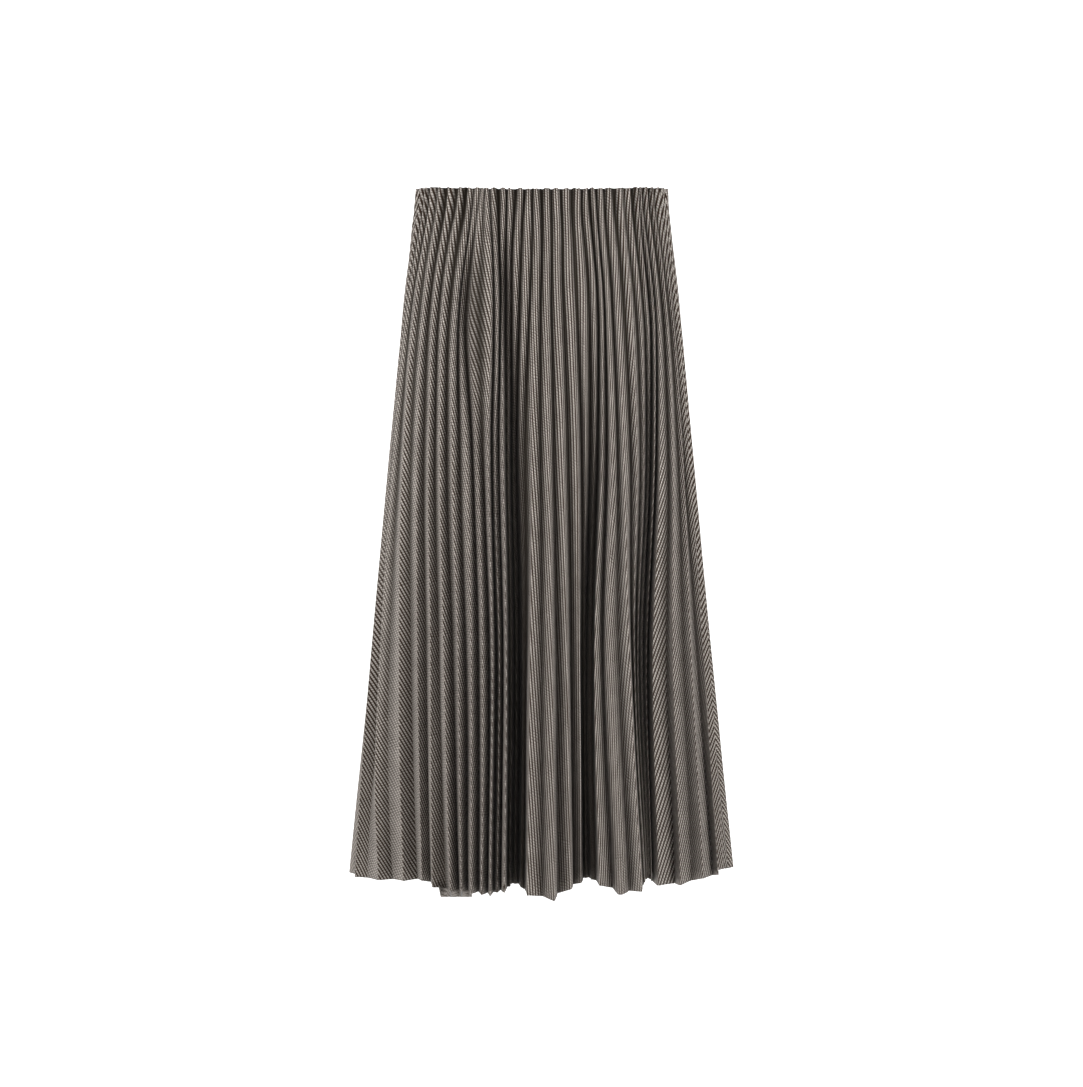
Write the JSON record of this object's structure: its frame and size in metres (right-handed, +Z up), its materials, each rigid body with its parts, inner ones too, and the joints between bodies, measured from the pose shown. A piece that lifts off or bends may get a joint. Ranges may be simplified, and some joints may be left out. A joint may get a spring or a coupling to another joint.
{
  "type": "pleated maxi skirt",
  "caption": "Long sunray-pleated skirt, filled out and hollow, open at waist and hem, gathered on an elastic sewn inside the waist.",
  "frame": {"origin": "middle of the waist opening, level with the top edge at the sides, where the wearer's waist holds the skirt", "axes": "+Z up out of the waist opening, the front faces -Y, +X is on the right as seen from the front"},
  "size_m": [0.46, 0.3682, 0.8311],
  "materials": {
    "striped_cloth": "matt pleated cloth, fine grey and dark brown stripes with short slanted floats",
    "knitted_elastic": "matt ribbed knitted elastic, dark grey"
  },
  "bodies": {
    "root": {"front_panel": "striped_cloth", "back_panel": "striped_cloth", "waist_elastic": "knitted_elastic"}
  },
  "joints": []
}
